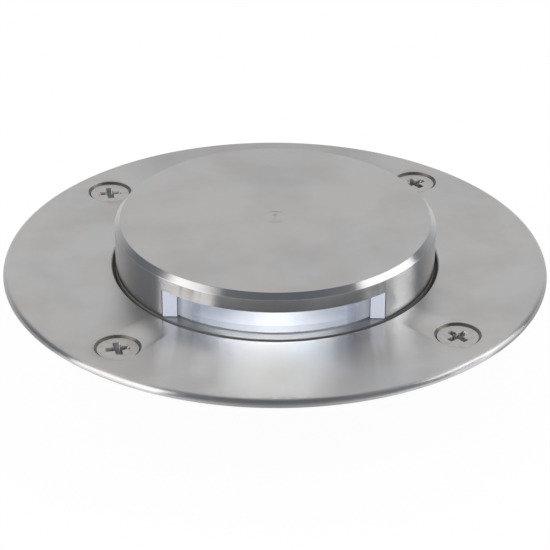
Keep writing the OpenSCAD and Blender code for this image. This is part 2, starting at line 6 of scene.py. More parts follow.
import bmesh
import bpy
import numpy as np
from mathutils import Matrix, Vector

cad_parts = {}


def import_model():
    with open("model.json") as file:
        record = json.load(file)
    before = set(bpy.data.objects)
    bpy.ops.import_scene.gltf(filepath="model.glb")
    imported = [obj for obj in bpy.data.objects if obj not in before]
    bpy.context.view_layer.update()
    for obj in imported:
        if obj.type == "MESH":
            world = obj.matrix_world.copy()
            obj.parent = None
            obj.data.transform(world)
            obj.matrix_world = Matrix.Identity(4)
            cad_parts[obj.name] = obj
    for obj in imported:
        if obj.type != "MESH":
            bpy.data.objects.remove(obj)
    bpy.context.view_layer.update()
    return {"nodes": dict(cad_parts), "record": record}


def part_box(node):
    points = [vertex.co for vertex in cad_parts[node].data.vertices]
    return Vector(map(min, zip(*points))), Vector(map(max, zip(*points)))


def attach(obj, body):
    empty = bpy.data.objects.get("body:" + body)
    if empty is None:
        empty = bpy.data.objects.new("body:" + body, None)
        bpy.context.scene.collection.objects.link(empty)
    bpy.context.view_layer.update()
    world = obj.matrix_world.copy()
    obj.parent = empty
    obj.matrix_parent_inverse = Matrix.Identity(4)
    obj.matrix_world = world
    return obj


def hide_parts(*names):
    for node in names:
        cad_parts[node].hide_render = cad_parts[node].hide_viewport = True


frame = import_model()
NODES = frame["nodes"]

MM = 0.001
FRAME_PX = 550

# Levels of the visible pieces, from the CAD boxes
Z_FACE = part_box("flange_ring")[1].z / MM
Z_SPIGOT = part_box("flange_ring")[0].z / MM
Z_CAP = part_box("cap")[1].z / MM
Z_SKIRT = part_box("cap")[0].z / MM
Z_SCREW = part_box("flange_screws")[1].z / MM
Z_SCREW_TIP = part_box("flange_screws")[0].z / MM
Z_LENS_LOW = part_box("window_lens")[0].z / MM
Z_LENS_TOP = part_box("window_lens")[1].z / MM
Z_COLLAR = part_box("glide_ring")[1].z / MM
Z_O_RING = (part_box("head_o_ring")[0].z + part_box("head_o_ring")[1].z) / 2 / MM
Z_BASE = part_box("housing_pot")[0].z / MM

# Radii of the visible pieces. A CAD mesh's box is a little smaller than its circle on some sides.
FLANGE_LOW, FLANGE_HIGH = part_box("flange_ring")
FLANGE_R = min(-FLANGE_LOW.x, -FLANGE_LOW.y, FLANGE_HIGH.x, FLANGE_HIGH.y) / MM
COLLAR_R = 39.0
CAP_R = 35.25
CAP_BORE_R = 33.1
HOLE_R = 36.0
SPIGOT_R = 54.5
SCREW_CIRCLE_R = 50.5

# Rounded edges of the flange's rim, and the chamfer of its hole
RIM_ROUND = 1.35
RIM_LOW_ROUND = 0.1
HOLE_CHAMFER = 0.25
HOLE_ROUND = 0.05

# Cap: its top with a centre mark and a fine ring round that, the groove of the O-ring, and the head's turn
CAP_CHAMFER = 1.2
CAP_TOP_T = 3.0
CAP_INNER_ROUND = 0.4
MARK_R = 1.25
MARK_H = 0.43
MARK_RING_R = 2.5
MARK_RING_HALF_W = 0.1
MARK_RING_H = 0.05
MARK_RING_ROUND = 0.02
GROOVE_W = 1.9
GROOVE_R = 34.1
AIM = math.radians(-5.2)

# Posts under the cap's top for the reflector's screws, each bored from below up to a drill point
POST_R = 3.0
POST_BORE_R = 1.3
POST_CIRCLE_R = 29.5
POST_ANGLES = (-10, 90, 190)
POST_OVERLAP = 0.2
POST_ROUND = 0.2
POST_BORE_ROUND = 0.15
POST_BORE_END = 1.0
POST_DRILL_POINT = 0.5

# Window: a straight cut in front of a flat, with the curved lens and its seal behind the wall. The cuts reach
# past the wall by CUT_REACH, and the seal's opening goes behind the flat by SEAL_CUT_REACH.
WINDOW_FLAT = 26.09
WINDOW_DROP = 4.1
WINDOW_HALF_W = 20.36
OUTLINE_W = 0.13
CUT_REACH = 3.0
LENS_R = 32.35
LENS_INNER_R = 30.35
LENS_HALF = math.radians(39.74)
LENS_ROUND = 0.15
SEAL_R = 33.05
SEAL_ROUND = 0.1
SEAL_CUT_REACH = 2.0

# Flange screws: angle of each on the ring, and angle of its cross recess
SCREW_ANGLES = (45, 135, 225, 315)
CROSS_ANGLES = (30, 5, 8, 36)
HEAD_R = 4.45
HEAD_LAND = 0.1
HEAD_ROUND = 0.08
NECK_H = 0.3
NECK_ROUND = 0.1
SCREW_R = 2.5
PITCH = 0.8
THREAD_DEPTH = 0.45 * PITCH
TIP_TAPER = 0.5
CROSS_W = 5.1
CROSS_ARM = 1.45
CROSS_DEPTH = 2.0
CROSS_END_ROUND = 0.12
CROSS_INNER_ROUND = 0.22

# Countersunk holes of the screws. A hole's cone goes on up to the face, so its mouth is wider than the head
# by the depth to which the screw is sunk.
SCREW_HOLE_R = 2.8
SCREW_SUNK = Z_FACE - Z_SCREW
MOUTH_GAP = 0.05
MOUTH_BREAK = 0.06

# Smallest edge radius, and the distance of the guard points beside each rounding
EDGE = 0.12
GUARD = 0.04

# Points round a turned piece, a screw and a post, sections of a curved block, rows in a turn of thread
TURN_STEPS = 384
SCREW_STEPS = 96
POST_STEPS = 64
BLOCK_STEPS = 96
THREAD_ROWS = 12

# Angles between faces, up to which they are shaded smooth or joined, and from which their edge is rounded
SMOOTH_ANGLE = math.radians(28)
JOIN_ANGLE = math.radians(0.6)
BEVEL_ANGLE = math.radians(40)

# CAD nodes that get rounded edges: node, name of the piece, radius
REFINED = (
    ("reflector_screws", "channel_screws", 0.12), ("head_o_ring", "skirt_o_ring", 0.05),
    ("glide_ring", "collar_glide", 0.1), ("housing_pot", "cast_housing", 0.3),
    ("thread_inserts", "ear_inserts", 0.08), ("rim_gasket", "flat_gasket", 0.08),
    ("led_board", "source_board", 0.06), ("led_chips", "source_chips", 0.1),
    ("led_board_screws", "source_screws", 0.1), ("thermal_pad", "silicone_pad", 0.05),
    ("heat_spreader", "spreader_disc", 0.15), ("spreader_screws", "disc_screws", 0.12),
    ("driver_board", "current_board", 0.06), ("driver_inductor", "wound_inductor", 0.4),
    ("driver_capacitors", "can_capacitors", 0.4), ("driver_chips", "moulded_chips", 0.12),
    ("driver_screws", "board_screws", 0.1), ("terminal_block", "screw_terminal", 0.3),
    ("terminal_screws", "terminal_grub_screws", 0.1), ("lead_positive", "red_lead", 0.05),
    ("lead_negative", "black_lead", 0.05), ("input_leads", "supply_leads", 0.05),
    ("gland_body", "gland_shell", 0.25), ("gland_washer", "gland_face_seal", 0.1),
    ("gland_seal", "gland_cable_seal", 0.1), ("gland_nut", "gland_cap_nut", 0.3),
)

# The part of a noise's range that materials use
SPAN = (0.3, 0.7)

# Steel: two tints of bare metal, its stains and bands, then the colours that masks put over them
STEEL_WARM = (0.640, 0.628, 0.618)
STEEL_COOL = (0.622, 0.630, 0.640)
STEEL_STAIN = (0.50, 0.475, 0.455)
STEEL_BAND = (0.45, 0.44, 0.435)
# Darker colour in the countersunk holes: painted shade
SUNK_PAINTED_SHADE = (0.27, 0.245, 0.22)
MILLED_COLOUR = (0.60, 0.62, 0.67)
# Darker colour on the window's lower ledge: painted shade
LEDGE_PAINTED_SHADE = (0.38, 0.38, 0.38)
# Dark line round the milled faces: painted shade
OUTLINE_PAINTED_SHADE = (0.16, 0.16, 0.17)
DUST_COLOUR = (0.36, 0.34, 0.325)

# Screws: bare and grimy metal on the head and in the cross recess, and the depths between which they change.
# The recess's colours are lighter than the head's: painted light.
HEAD_BARE = (0.60, 0.585, 0.57)
HEAD_GRIME = (0.34, 0.31, 0.28)
RECESS_BARE_PAINTED_LIGHT = (0.76, 0.73, 0.71)
RECESS_GRIME_AND_PAINTED_LIGHT = (0.38, 0.355, 0.34)
RECESS_DEPTHS = (0.12, 0.3)

# Lens: tint of the clear part, colour of its surface, and the range across it over which it turns frosted
# and glows with painted light of the source
LENS_TINT = (0.95, 0.97, 1.0)
LENS_SURFACE = (0.36, 0.38, 0.43)
LENS_IOR = 1.58
LENS_FROST = (15.0, 19.2)

# Glow of the source, painted as emission in the channel, on the frosted ends of the lens and on the milled
# faces: colours, then places in the head's own frame, whose window looks towards -Y. The deep glow over the
# source grows over GLOW_DEPTH along y and over GLOW_NARROW from both sides. The rest dims over GLOW_SHADE
# and rises again over GLOW_FRONT.
GLOW_MIDDLE = (1.0, 1.0, 0.99)
GLOW_SIDE = (0.34, 0.36, 0.41)
GLOW_DIM = (0.20, 0.215, 0.25)
GLOW_DEEP = (38.0, 37.6, 37.0)
MILLED_PAINTED_LIGHT = (0.46, 0.485, 0.57)
CHANNEL_COLOUR = (0.20, 0.205, 0.22)
GLOW_WIDTH = 8.0
GLOW_DEPTH = (-11.0, 2.0)
GLOW_SHADE = (-29.0, -19.0)
GLOW_FRONT = (-23.0, -31.0)
GLOW_NARROW = (15.0, 6.0)

# Camera, as fitted to the photograph
CAMERA_DISTANCE = 561.95
CAMERA_AZIMUTH = math.radians(-94.686)
CAMERA_ELEVATION = math.radians(28.551)
CAMERA_PITCH = 0.00624
CAMERA_ROLL = 0.00474
FOCAL_PX = 2537.6
SENSOR_W = 36.0
CLIP_START = 10.0

# Floor: its own grey, the white that it shows and the share of that, and what metal sees of the white. That
# is all of it beyond FLOOR_START to the front and FLOOR_HALF_W to the sides, a pale share beyond FLOOR_BACK
# to the back, and a dim share elsewhere.
FLOOR_REACH = 20000.0
FLOOR_GREY = (0.8, 0.8, 0.8)
FLOOR_WHITE = 1.04
FLOOR_WHITE_SHARE = 0.93
FLOOR_START = 25.0
FLOOR_HALF_W = 42.0
FLOOR_BACK = 70.0
FLOOR_FADE = 10.0
FLOOR_DIM_SHARE = 0.1
FLOOR_PALE_SHARE = 0.62

# Light from all round. A spread is a range of a direction's share towards the back, and a height one of its
# rise. BACK_RISE is the rise above which the pale part widens, and how fast it does.
BACK_SPREAD = (0.48, 0.88)
BACK_HEIGHT = (0.84, 0.97)
BACK_RISE = (0.6, 4.0)
BACK_LIGHT = (0.70, 0.695, 0.69)
SIDE_LIGHT = (0.165, 0.182, 0.21)
FRONT_SPREAD = (-0.3, -0.9)
FRONT_HEIGHT = (0.5, 0.75)
FRONT_LIGHT = (0.27, 0.28, 0.295)

# Lamps: name, azimuth from the camera's side, half width, lower and upper edge, all in degrees, and radiance.
# The low ones are dimmer, so that the flat top stays below white in a low view from the side.
BOX_DISTANCE = 900.0
BOX_LIGHT = (1.9, 1.87, 1.82)
LEFT_LOW_LIGHT = (1.55, 1.53, 1.5)
RIGHT_LOW_LIGHT = (0.98, 0.98, 0.98)
BOX_TOP = 50
BOX_SPLIT = 18
INNER_SPLIT = 34
BOXES = (
    ("left_box", -66, 22, BOX_SPLIT, BOX_TOP, BOX_LIGHT),
    ("left_low_box", -64, 20, 0, BOX_SPLIT, LEFT_LOW_LIGHT),
    ("right_box", 103, 11, BOX_SPLIT, BOX_TOP, BOX_LIGHT),
    ("right_inner_box", 81.5, 10.5, INNER_SPLIT, BOX_TOP, BOX_LIGHT),
    ("right_low_box", 92.5, 21.5, 0, BOX_SPLIT, RIGHT_LOW_LIGHT),
)


def direction(azimuth, elevation=0.0):
    """Unit vector at an azimuth from +X and an elevation above the ground."""
    flat = math.cos(elevation)
    return np.array([math.cos(azimuth) * flat, math.sin(azimuth) * flat, math.sin(elevation)])


def round_angles(steps):
    """Angles of evenly spaced points round a circle."""
    return np.linspace(0, 2 * math.pi, steps, endpoint=False)


def turn_matrix(angle):
    """Rotation about +Z by an angle in radians."""
    c = math.cos(angle)
    s = math.sin(angle)
    return np.array([[c, -s, 0], [s, c, 0], [0, 0, 1]])


def rounded(corners, steps, closed=True):
    """Outline through (x, y, radius) corners, each replaced by an arc that touches both its sides.

    The arc's centre lies on the corner's bisector at radius / sin(half the corner's angle), and it touches
    each side at radius / tan(half the angle). A guard point stands just outside each end of an arc, where
    the side has room for it.
    """
    corners = np.array(corners, float)
    points = corners[:, :2]
    radius = corners[:, 2].copy()
    if not closed:
        radius[[0, -1]] = 0
    ahead = np.roll(points, -1, 0) - points
    length = np.linalg.norm(ahead, axis=1)
    ahead /= length[:, None]
    behind = -np.roll(ahead, 1, 0)
    half = np.arccos(np.clip((ahead * behind).sum(1), -1, 1)) / 2
    touch = radius / np.tan(half)
    guard = np.clip((length - touch - np.roll(touch, -1)) / 3, 0, GUARD)
    outline = []
    for index in range(len(corners)):
        if radius[index] == 0:
            outline.append(points[index][None])
            continue
        bisector = ahead[index] + behind[index]
        centre = points[index] + bisector / np.linalg.norm(bisector) * radius[index] / math.sin(half[index])
        first = points[index] + behind[index] * touch[index]
        final = points[index] + ahead[index] * touch[index]
        start = first - centre
        stop = final - centre
        sweep = math.atan2(start[0] * stop[1] - start[1] * stop[0], start @ stop)
        turn = math.atan2(start[1], start[0]) + np.linspace(0, sweep, steps + 1)
        arc = centre + radius[index] * np.stack([np.cos(turn), np.sin(turn)], 1)
        outline += [(first + behind[index] * guard[index - 1])[None], arc,
                    (final + ahead[index] * guard[index])[None]]
    return np.concatenate(outline)


def grid_faces(rows, columns, wrap_rows, wrap_columns, first):
    """Quads between neighbouring points of a grid of rows by columns, numbered row by row from first."""
    row = np.arange(rows if wrap_rows else rows - 1)[:, None]
    column = np.arange(columns if wrap_columns else columns - 1)[None, :]
    next_row = (row + 1) % rows
    next_column = (column + 1) % columns
    corners = [row * columns + column, row * columns + next_column,
               next_row * columns + next_column, next_row * columns + column]
    shape = (row.size, column.size)
    return np.stack([np.broadcast_to(corner, shape) for corner in corners], -1).reshape(-1, 4) + first


class Shell:
    """Points and faces of one piece, gathered patch by patch, in millimetres."""

    def __init__(self):
        self.points = []
        self.faces = []
        self.count = 0

    def patch(self, points, faces):
        """Adds points, shape (n, 3), and the faces between them, numbered from the shell's count."""
        self.points.append(points)
        self.faces += faces
        self.count += len(points)
        return self

    def grid(self, points, wrap_rows=False, wrap_columns=False):
        """Adds a grid of points, shape (rows, columns, 3), and the quads between them."""
        rows, columns = points.shape[:2]
        faces = grid_faces(rows, columns, wrap_rows, wrap_columns, self.count)
        return self.patch(points.reshape(-1, 3), faces.tolist())

    def fan(self, loop):
        """Closes a loop of points, shape (n, 3), with one face."""
        return self.patch(loop, [list(range(self.count, self.count + len(loop)))])

    def add(self, other, matrix=None, offset=(0, 0, 0)):
        """Adds another shell's patches, turned by a 3 by 3 matrix and then moved."""
        points = np.concatenate(other.points)
        if matrix is not None:
            points = points @ np.asarray(matrix).T
        faces = [[index + self.count for index in face] for face in other.faces]
        return self.patch(points + np.asarray(offset, float), faces)


def turned(profile, steps=TURN_STEPS, closed=True):
    """Surface of revolution: a profile's point (r, z) goes to (r cos a, r sin a, z) at each angle a."""
    angle = round_angles(steps)[None, :]
    r = profile[:, :1]
    z = np.broadcast_to(profile[:, 1:], (len(profile), steps))
    return Shell().grid(np.stack([r * np.cos(angle), r * np.sin(angle), z], -1), closed, True)


def merge_doubles(mesh, distance=0.002 * MM):
    """Merges points that lie on each other, drops faces without area and turns the normals outwards."""
    work = bmesh.new()
    work.from_mesh(mesh)
    bmesh.ops.remove_doubles(work, verts=work.verts, dist=distance)
    bmesh.ops.dissolve_degenerate(work, edges=work.edges, dist=distance / 10)
    bmesh.ops.recalc_face_normals(work, faces=work.faces)
    work.to_mesh(mesh)
    work.free()


def linked(name, data):
    """Object of some data, linked into the scene."""
    obj = bpy.data.objects.new(name, data)
    bpy.context.scene.collection.objects.link(obj)
    return obj


def mesh_object(name, shell):
    """Mesh object of a shell in metres, with its doubles merged and its normals turned outwards."""
    mesh = bpy.data.meshes.new(name)
    mesh.from_pydata(np.concatenate(shell.points) * MM, [], shell.faces)
    merge_doubles(mesh)
    return linked(name, mesh)


def shell_of(mesh):
    """Shell with a mesh's points and faces, in millimetres."""
    points = np.empty(len(mesh.vertices) * 3)
    mesh.vertices.foreach_get("co", points)
    return Shell().patch(points.reshape(-1, 3) / MM, [list(face.vertices) for face in mesh.polygons])


def apply_modifiers(obj):
    """Puts the result of an object's modifiers into its mesh."""
    seen = obj.evaluated_get(bpy.context.evaluated_depsgraph_get())
    mesh = bpy.data.meshes.new_from_object(seen)
    obj.modifiers.clear()
    obj.data = mesh


def cut_away(obj, shell):
    """Takes the volume of a closed shell away from a mesh object."""
    tool = mesh_object("cutter", shell)
    change = obj.modifiers.new("cut", "BOOLEAN")
    change.object = tool
    change.solver = "EXACT"
    apply_modifiers(obj)
    bpy.data.objects.remove(tool)


def dress(obj, material, body, replaces=()):
    """Shades a mesh smooth up to SMOOTH_ANGLE, and gives it its material, body and replaced nodes."""
    obj.data.materials.clear()
    obj.data.materials.append(material)
    obj.data.polygons.foreach_set("use_smooth", np.ones(len(obj.data.polygons), bool))
    obj.data.set_sharp_from_angle(angle=SMOOTH_ANGLE)
    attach(obj, body)
    if replaces:
        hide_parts(*replaces)
    return obj


def piece(name, shell, material, body, replaces=(), cuts=()):
    """Makes a shell into a mesh object, takes other shells away from it, and dresses it."""
    obj = mesh_object(name, shell)
    for cut in cuts:
        cut_away(obj, cut)
    return dress(obj, material, body, replaces)


class Number:
    """A number that a material works out, from a socket. Python's operators on it add Math nodes."""

    def __init__(self, finish, socket):
        self.finish = finish
        self.socket = socket

    def math(self, operation, *others):
        """Math node of an operation on this number and others."""
        sockets = dict(enumerate((self,) + others))
        return self.finish.node("ShaderNodeMath", {"operation": operation}, sockets, 0)

    def __add__(self, other):
        return self.math("ADD", other)

    def __sub__(self, other):
        return self.math("SUBTRACT", other)

    def __rsub__(self, other):
        return (self * -1).math("ADD", other)

    def __mul__(self, other):
        return self.math("MULTIPLY", other)

    def __truediv__(self, other):
        return self.math("DIVIDE", other)

    def __gt__(self, other):
        return self.math("GREATER_THAN", other)

    def __lt__(self, other):
        return self.math("LESS_THAN", other)

    __radd__ = __add__
    __rmul__ = __mul__


class Finish:
    """A material as it is written. Every node comes from node(), and surface() or end() ends it."""

    def __init__(self, name):
        self.material = bpy.data.materials.new(name)
        self.material.use_nodes = True
        self.tree = self.material.node_tree
        self.tree.nodes.clear()

    @classmethod
    def of_tree(cls, tree):
        """A finish that writes into a tree which is there already, such as a world's."""
        made = cls.__new__(cls)
        made.tree = tree
        tree.nodes.clear()
        return made

    def node(self, kind, settings=None, sockets=None, output=0):
        """Adds a node, sets its settings and then its sockets, and returns one of its outputs."""
        made = self.tree.nodes.new(kind)
        for key, value in (settings or {}).items():
            setattr(made, key, value)
        for key, value in (sockets or {}).items():
            if isinstance(value, Number):
                self.tree.links.new(value.socket, made.inputs[key])
            else:
                made.inputs[key].default_value = value
        return Number(self, made.outputs[output]) if made.outputs else None

    def place(self):
        """Object coordinates, in millimetres."""
        inside = self.node("ShaderNodeTexCoord", output="Object")
        return self.node("ShaderNodeVectorMath", {"operation": "SCALE"}, {0: inside, "Scale": 1 / MM})

    def parts(self, vector):
        """x, y and z of a vector."""
        split = self.node("ShaderNodeSeparateXYZ", None, {0: vector})
        outputs = split.socket.node.outputs
        return [Number(self, outputs[axis]) for axis in range(3)]

    def radius(self, vector):
        """Distance from the Z axis."""
        x, y = self.parts(vector)[:2]
        return (x * x + y * y).math("SQRT")

    def noise(self, vector, scale, detail, roughness=0.5):
        """Noise from 0 to 1 over a vector."""
        return self.node("ShaderNodeTexNoise", None,
                         {"Vector": vector, "Scale": scale, "Detail": detail, "Roughness": roughness})

    def lines(self, number, scale, detail):
        """Noise from 0 to 1 along one number."""
        return self.node("ShaderNodeTexNoise", {"noise_dimensions": "1D"},
                         {"W": number, "Scale": scale, "Detail": detail})

    def between(self, number, low, high, out_low=0.0, out_high=1.0):
        """Maps a number from one range to another, and holds it there."""
        return self.node("ShaderNodeMapRange", None, {"Value": number, "From Min": low, "From Max": high,
                                                     "To Min": out_low, "To Max": out_high})

    def mix(self, factor, first, second):
        """Mix of two colours, each a link or an (r, g, b)."""
        def ready(colour):
            return colour if isinstance(colour, Number) else (*colour, 1)
        return self.node("ShaderNodeMix", {"data_type": "RGBA"},
                         {"Factor": factor, 6: ready(first), 7: ready(second)}, 2)

    def bump(self, height, distance):
        """Normal of a height from 0 to 1 over a distance in millimetres."""
        sockets = {"Height": height, "Distance": distance * MM, "Strength": 1.0}
        return self.node("ShaderNodeBump", None, sockets)

    def principled(self, **sockets):
        """Principled shader with the given sockets, whose names have _ for a space."""
        values = {}
        for key, value in sockets.items():
            ready = (*value, 1) if isinstance(value, tuple) and len(value) == 3 else value
            values[key.replace("_", " ")] = ready
        return self.node("ShaderNodeBsdfPrincipled", None, values)

    def surface(self, **sockets):
        """Puts a principled shader on the material's surface."""
        return self.end(self.principled(**sockets))

    def end(self, shader):
        """Puts a shader on the material's surface."""
        self.node("ShaderNodeOutputMaterial", None, {"Surface": shader})
        return self.material


def aimed(f, place):
    """x, y and z in the head's own frame, with its window towards -Y."""
    turn = {"Vector": place, "Rotation": (0, 0, -AIM)}
    return f.parts(f.node("ShaderNodeMapping", {"vector_type": "POINT"}, turn))


def milled_masks(f, place):
    """Masks of the flat faces that the window's cut leaves at the wall's ends, and of their dark outline.

    The outline is a line of painted shade along the faces' edges.
    """
    slack = 0.05
    overlap = 0.3
    lift = 0.02
    x, y, z = aimed(f, place)
    across = x.math("ABSOLUTE")
    half = math.sqrt(CAP_R ** 2 - WINDOW_FLAT ** 2)
    top = Z_CAP - WINDOW_DROP
    face = ((y + WINDOW_FLAT).math("ABSOLUTE") < slack) * (z > Z_FACE + lift) * (z < top)
    face = face * (across > WINDOW_HALF_W - overlap)
    inner = (across < half - OUTLINE_W) * (across > WINDOW_HALF_W + OUTLINE_W)
    inner = inner * (z > Z_FACE + OUTLINE_W) * (z < top - OUTLINE_W)
    return face * inner, face * (1 - inner)


def ledge_mask(f, place):
    """One on the window's lower ledge, which the straight cut leaves level with the ring's face."""
    slack = 0.02
    overlap = 0.3
    inset = 0.03
    y, z = aimed(f, place)[1:]
    level = (z - Z_FACE).math("ABSOLUTE") < slack
    return level * (y < overlap - WINDOW_FLAT) * (f.radius(place) < CAP_R - inset)


def sunk_mask(x, y, z):
    """One inside the countersunk holes, zero elsewhere. The screws stand where |x| = |y|."""
    rim = 0.1
    depth = 0.06
    middle = SCREW_CIRCLE_R / math.sqrt(2)
    dx = x.math("ABSOLUTE") - middle
    dy = y.math("ABSOLUTE") - middle
    away = (dx * dx + dy * dy).math("SQRT")
    return (away < HEAD_R + SCREW_SUNK + HEAD_LAND + rim) * (z < Z_FACE - depth)


def dust_mask(f, place, z):
    """One in the running gap between the cap and the ring, from the ring's face down to its spigot's end."""
    depth = 0.03
    below = 0.1
    slack = 0.02
    return (z < Z_FACE - depth) * (z > Z_SPIGOT - below) * (f.radius(place) < HOLE_R + slack)


def turned_steel(name, roughness, anisotropic):
    """Stainless steel off the lathe: hair-fine rings round the axis, a stretched highlight, faint stains.

    The milled faces beside the window are paler and duller, and glow with painted light of the source. The
    sunk screw holes, the window's ledge and the milled faces' outline are darker with painted shade. Dust
    lies in the running gap between the cap and the ring.
    """
    f = Finish(name)
    place = f.place()
    x, y, z = f.parts(place)
    fine = f.lines(f.radius(place) - z, scale=9.0, detail=2.0)
    band = f.between(f.lines(z, scale=1.6, detail=3.0), 0.35, 0.65)
    stain = f.noise(place, scale=0.07, detail=3.0)
    tint = f.noise(place, scale=0.05, detail=2.0)
    colour = f.mix(f.between(tint, 0.38, 0.62), STEEL_WARM, STEEL_COOL)
    colour = f.mix(f.between(stain, 0.42, 0.68, 0.0, 0.42), colour, STEEL_STAIN)
    colour = f.mix(band * 0.14, colour, STEEL_BAND)
    milled, outline = milled_masks(f, place)
    ledge = ledge_mask(f, place)
    sunk = sunk_mask(x, y, z)
    dusty = dust_mask(f, place, z)
    # Painted shade in the sunk holes, on the window's ledge and round the milled faces; dust in the running
    # gap
    for mask, over in ((sunk, SUNK_PAINTED_SHADE), (milled, MILLED_COLOUR), (ledge, LEDGE_PAINTED_SHADE),
                       (outline, OUTLINE_PAINTED_SHADE), (dusty, DUST_COLOUR)):
        colour = f.mix(mask, colour, over)
    rough = f.between(stain, *SPAN, roughness - 0.01, roughness + 0.01)
    rough = rough + f.between(fine, *SPAN, -0.006, 0.006)
    rough = rough + milled * 0.25 + sunk * 0.15 + ledge * 0.1 + dusty * 0.4
    # The milled faces' emission is painted light of the source
    return f.surface(Base_Color=colour, Metallic=1 - dusty, Roughness=rough,
                     Anisotropic=anisotropic, Anisotropic_Rotation=0.25, Normal=f.bump(fine, 0.0012),
                     Emission_Color=f.mix(milled, (0, 0, 0), MILLED_PAINTED_LIGHT), Emission_Strength=1.0)


def screw_steel():
    """Plain stainless steel of the screws: small scratches, and grime in places and in the cross recess.

    The recess is lighter than the head: painted light, so that it doesn't show black.
    """
    f = Finish("screw_stainless")
    place = f.place()
    z = f.parts(place)[2]
    grime = f.noise(place, scale=0.8, detail=4.0, roughness=0.6)
    scratch = f.noise(place, scale=3.0, detail=3.0, roughness=0.7)
    inside = f.between(z, Z_SCREW - RECESS_DEPTHS[0], Z_SCREW - RECESS_DEPTHS[1])
    head = f.mix(f.between(grime, 0.5, 0.75, 0.0, 0.5), HEAD_BARE, HEAD_GRIME)
    # Lighter colours in the cross recess: painted light, grimy in places
    recess = f.mix(f.between(grime, 0.4, 0.6), RECESS_BARE_PAINTED_LIGHT, RECESS_GRIME_AND_PAINTED_LIGHT)
    rough = f.between(scratch, *SPAN, 0.26, 0.36) - inside * 0.12
    return f.surface(Base_Color=f.mix(inside, head, recess), Metallic=1.0, Roughness=rough,
                     Normal=f.bump(scratch, 0.004))


def clear_lens():
    """Clear polycarbonate with fine wear, frosted towards both ends of the curve, where it glows with painted
    light.
    """
    f = Finish("clear_lens")
    place = f.place()
    wear = f.noise(place, scale=1.2, detail=4.0, roughness=0.6)
    frosted = f.between(aimed(f, place)[0].math("ABSOLUTE"), *LENS_FROST)
    clear = f.node("ShaderNodeBsdfTransparent", None, {"Color": (*LENS_TINT, 1)})
    # The frosted ends glow with GLOW_SIDE: painted light of the source
    gloss = f.principled(Base_Color=LENS_SURFACE, Roughness=f.between(wear, *SPAN, 0.04, 0.12), IOR=LENS_IOR,
                         Normal=f.bump(wear, 0.01), Emission_Strength=0.7,
                         Emission_Color=f.mix(frosted, (0, 0, 0), GLOW_SIDE))
    facing = f.node("ShaderNodeLayerWeight", None, {"Blend": 0.22}, "Fresnel")
    share = f.between(facing, 0.0, 1.0, 0.06, 0.8).math("MAXIMUM", frosted)
    return f.end(f.node("ShaderNodeMixShader", None, {0: share, 1: clear, 2: gloss}))


def lit_channel():
    """Plastic of the light channel, lit by the source. Its own colour is dim, because its glow is emission.

    Across the window the glow falls as exp(-(across / GLOW_WIDTH) squared), from GLOW_MIDDLE to GLOW_SIDE.
    It dims with depth over GLOW_SHADE, rises again near the lens over GLOW_FRONT, and is GLOW_DEEP over the
    source.
    """
    f = Finish("reflector_plastic")
    place = f.place()
    x, y = aimed(f, place)[:2]
    fall = (x * x * (-1 / GLOW_WIDTH ** 2)).math("EXPONENT")
    cloud = f.between(f.noise(place, scale=0.3, detail=3.0), *SPAN, 0.8, 1.0)
    shade = f.between(y, *GLOW_SHADE) * (1 - fall * 0.8)
    glow = f.mix(cloud, GLOW_DIM, f.mix(fall, GLOW_SIDE, GLOW_MIDDLE))
    glow = f.mix(shade, glow, GLOW_DIM)
    glow = f.mix(f.between(y, *GLOW_FRONT) * 0.35, glow, GLOW_MIDDLE)
    deep = f.between(y, *GLOW_DEPTH) * f.between(x.math("ABSOLUTE"), *GLOW_NARROW)
    return f.surface(Base_Color=CHANNEL_COLOUR, Roughness=0.3, Emission_Strength=1.0,
                     Emission_Color=f.mix(deep, glow, GLOW_DEEP))


def moulded(name, colour, roughness, grain=0.02, scale=2.0, shade=0.85, **extra):
    """Moulded plastic or rubber: an even colour with slight shade changes and a fine grain."""
    f = Finish(name)
    place = f.place()
    cloud = f.noise(place, scale=0.12, detail=3.0)
    fine = f.noise(place, scale, detail=3.0, roughness=0.6)
    dark = tuple(shade * part for part in colour)
    rough = f.between(fine, *SPAN, roughness - 0.06, roughness + 0.06)
    return f.surface(Base_Color=f.mix(f.between(cloud, 0.35, 0.65), colour, dark), Roughness=rough,
                     Normal=f.bump(fine, grain), **extra)


def metal(name, colour, roughness, grain=0.02, scale=2.0):
    """Plain metal with stronger shade changes and a fine grain."""
    return moulded(name, colour, roughness, grain, scale, shade=0.8, Metallic=1.0)


STEEL = turned_steel("turned_stainless", 0.19, 0.9)
FLANGE_STEEL = turned_steel("faced_stainless", 0.235, 1.0)
SCREW_STEEL = screw_steel()
LENS = clear_lens()
LENS_SEAL = moulded("lens_seal_rubber", (0.26, 0.265, 0.28), 0.5, scale=1.5)

